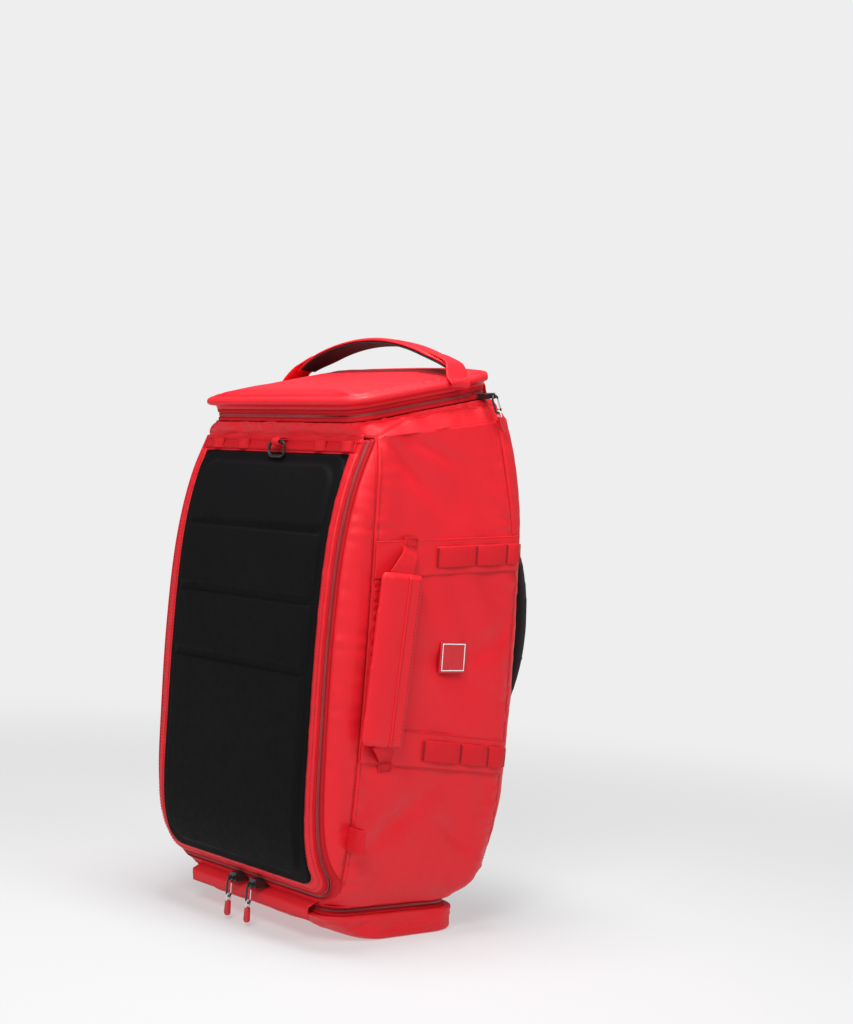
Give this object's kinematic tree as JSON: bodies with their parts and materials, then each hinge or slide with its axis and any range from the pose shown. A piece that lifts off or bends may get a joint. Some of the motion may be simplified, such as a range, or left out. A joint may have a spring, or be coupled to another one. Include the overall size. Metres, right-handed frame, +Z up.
{
  "type": "ski boot bag",
  "caption": "Tall soft-sided backpack bag for ski boots and helmet, with a moulded front cover, zipped lid, zipped base flap, carry handles and shoulder straps.",
  "frame": {"origin": "on the flat sole of the base flap, on the bag's left-right centre plane, under the middle of the body", "axes": "+Z up, +X the wearer's right, -Y the side with the moulded cover, +Y the harness side"},
  "size_m": [0.404, 0.3826, 0.7309],
  "materials": {
    "red_fabric": "coated woven polyester, soft sheen",
    "red_webbing": "ribbed woven webbing",
    "zip_tape": "knitted tape",
    "label": "woven patch with a pale border",
    "black_moulded_foam": "matt moulded foam faced with fabric",
    "black_fabric": "matt woven",
    "black_mesh": "spacer mesh over foam",
    "grey_lining": "matt lining",
    "foam": "closed-cell foam",
    "black_plastic": "satin",
    "black_metal": "satin black",
    "wire": "bright wire",
    "white_cord": "braided",
    "red_rubber": "satin"
  },
  "bodies": {
    "bag": {"back_frame_sheet": "black_plastic", "back_pad": "black_mesh", "back_panel": "red_fabric", "base_zip_body_tape": "zip_tape", "bottom_panel": "red_fabric", "collar": "red_fabric", "front_gusset": "red_fabric", "front_zip_body_tape": "zip_tape", "harness_buckles": "black_plastic", "harness_webbing": "black_fabric", "harness_yoke": "black_fabric", "ladder_webbing": "red_webbing", "left_shoulder_strap": "black_mesh", "left_side_panel": "red_fabric", "lid_zip_collar_tape": "zip_tape", "padded_divider": "grey_lining", "right_shoulder_strap": "black_mesh", "right_side_panel": "red_fabric", "side_bands": "red_fabric", "side_handle_anchors": "red_webbing", "side_label_patch": "label", "side_lash_loops": "red_webbing"},
    "front_cover": {"front_zip_cover_tape": "zip_tape", "front_cover_fabric": "red_fabric", "front_cover_binding": "red_fabric", "front_moulded_panel": "black_moulded_foam", "cover_daisy_webbing": "red_webbing", "gear_hook_tab": "red_webbing"},
    "gear_hook": {"gear_hook_frame": "black_plastic"},
    "gear_hook_arm_body": {"gear_hook_arm": "black_plastic"},
    "lid": {"lid_zip_lid_tape": "zip_tape", "lid_cover": "red_fabric", "lid_foam": "foam", "top_handle_anchors": "red_fabric"},
    "top_handle": {"top_handle_cover": "red_fabric", "top_handle_lining": "black_fabric"},
    "base_flap": {"base_flap_cover": "red_fabric", "base_stiffener_board": "black_plastic", "base_flap_foam": "foam", "base_zip_flap_tape": "zip_tape"},
    "right_side_handle": {"right_handle_grip": "red_fabric", "right_handle_webbing": "red_webbing"},
    "left_side_handle": {"left_handle_grip": "red_fabric", "left_handle_webbing": "red_webbing"},
    "front_zip_left_slider_body": {"front_zip_left_slider": "black_metal"},
    "front_zip_left_ring_body": {"front_zip_left_pull_ring": "black_metal"},
    "front_zip_left_gate_body": {"front_zip_left_pull_gate": "wire"},
    "front_zip_left_cord_body": {"front_zip_left_pull_cord": "white_cord", "front_zip_left_pull_tip": "red_rubber"},
    "front_zip_right_slider_body": {"front_zip_right_slider": "black_metal"},
    "front_zip_right_ring_body": {"front_zip_right_pull_ring": "black_metal"},
    "front_zip_right_gate_body": {"front_zip_right_pull_gate": "wire"},
    "front_zip_right_cord_body": {"front_zip_right_pull_cord": "white_cord", "front_zip_right_pull_tip": "red_rubber"},
    "lid_zip_slider_body": {"lid_zip_slider": "black_metal"},
    "lid_zip_ring_body": {"lid_zip_pull_ring": "black_metal"},
    "lid_zip_gate_body": {"lid_zip_pull_gate": "wire"},
    "lid_zip_cord_body": {"lid_zip_pull_cord": "white_cord", "lid_zip_pull_tip": "red_rubber"}
  },
  "joints": [
    {"name": "front_cover_hinge", "type": "hinge", "parent": "bag", "child": "front_cover", "pos_m": [0, -0.1215, 0.5925], "axis": [-1, 0, 0], "range_deg": [0, 72]},
    {"name": "gear_hook_swing", "type": "hinge", "parent": "front_cover", "child": "gear_hook", "pos_m": [0.014, -0.137, 0.586], "axis": [-1, 0, 0], "range_deg": [0, 70]},
    {"name": "gear_hook_arm_hinge", "type": "hinge", "parent": "gear_hook", "child": "gear_hook_arm_body", "pos_m": [0.028, -0.137, 0.5834], "axis": [0, 1, 0], "range_deg": [0, 20], "stiffness_Nm_per_rad": 0.02},
    {"name": "lid_hinge", "type": "hinge", "parent": "bag", "child": "lid", "pos_m": [0, 0.09986, 0.67522], "axis": [-1, 0, 0], "range_deg": [0, 110]},
    {"name": "top_handle_tilt", "type": "hinge", "parent": "lid", "child": "top_handle", "pos_m": [0, 0.022, 0.68971], "axis": [1, 0, 0], "range_deg": [-20, 20], "stiffness_Nm_per_rad": 0.6},
    {"name": "base_flap_hinge", "type": "hinge", "parent": "bag", "child": "base_flap", "pos_m": [0, -0.1165, 0.04], "axis": [-1, 0, 0], "range_deg": [0, 70]},
    {"name": "right_handle_swing", "type": "hinge", "parent": "bag", "child": "right_side_handle", "pos_m": [0.194, -0.046, 0.47], "axis": [0, 0.0604, 0.9982], "range_deg": [0, 80]},
    {"name": "left_handle_swing", "type": "hinge", "parent": "bag", "child": "left_side_handle", "pos_m": [-0.194, -0.046, 0.47], "axis": [0, -0.0604, -0.9982], "range_deg": [0, 80]},
    {"name": "front_zip_left_run", "type": "slide", "parent": "bag", "child": "front_zip_left_slider_body", "axis": [-1, 0, 0], "range_m": [0, 0.085]},
    {"name": "front_zip_left_ring_swing", "type": "hinge", "parent": "front_zip_left_slider_body", "child": "front_zip_left_ring_body", "pos_m": [-0.016, -0.136, 0.051], "axis": [-1, 0, 0], "range_deg": [0, 60]},
    {"name": "front_zip_left_gate_hinge", "type": "hinge", "parent": "front_zip_left_ring_body", "child": "front_zip_left_gate_body", "pos_m": [-0.0118, -0.136, 0.0455], "axis": [0, 1, 0], "range_deg": [0, 22], "stiffness_Nm_per_rad": 0.01},
    {"name": "front_zip_left_cord_swing", "type": "hinge", "parent": "front_zip_left_ring_body", "child": "front_zip_left_cord_body", "pos_m": [-0.016, -0.136, 0.0286], "axis": [-1, 0, 0], "range_deg": [0, 70]},
    {"name": "front_zip_right_run", "type": "slide", "parent": "bag", "child": "front_zip_right_slider_body", "axis": [1, 0, 0], "range_m": [0, 0.085]},
    {"name": "front_zip_right_ring_swing", "type": "hinge", "parent": "front_zip_right_slider_body", "child": "front_zip_right_ring_body", "pos_m": [0.024, -0.136, 0.051], "axis": [-1, 0, 0], "range_deg": [0, 60]},
    {"name": "front_zip_right_gate_hinge", "type": "hinge", "parent": "front_zip_right_ring_body", "child": "front_zip_right_gate_body", "pos_m": [0.0282, -0.136, 0.0455], "axis": [0, 1, 0], "range_deg": [0, 22], "stiffness_Nm_per_rad": 0.01},
    {"name": "front_zip_right_cord_swing", "type": "hinge", "parent": "front_zip_right_ring_body", "child": "front_zip_right_cord_body", "pos_m": [0.024, -0.136, 0.0286], "axis": [-1, 0, 0], "range_deg": [0, 70]},
    {"name": "lid_zip_run", "type": "slide", "parent": "bag", "child": "lid_zip_slider_body", "axis": [0, -0.9696, -0.2446], "range_m": [0, 0.06]},
    {"name": "lid_zip_ring_swing", "type": "hinge", "parent": "lid_zip_slider_body", "child": "lid_zip_ring_body", "pos_m": [0.177, 0.06312, 0.66162], "axis": [0, -0.8829, -0.4695], "range_deg": [0, 70]},
    {"name": "lid_zip_gate_hinge", "type": "hinge", "parent": "lid_zip_ring_body", "child": "lid_zip_gate_body", "pos_m": [0.177, 0.06941, 0.65874], "axis": [-1, 0, 0], "range_deg": [0, 22], "stiffness_Nm_per_rad": 0.01},
    {"name": "lid_zip_cord_swing", "type": "hinge", "parent": "lid_zip_ring_body", "child": "lid_zip_cord_body", "pos_m": [0.177, 0.07363, 0.64185], "axis": [0, -0.8829, -0.4695], "range_deg": [0, 70]}
  ]
}
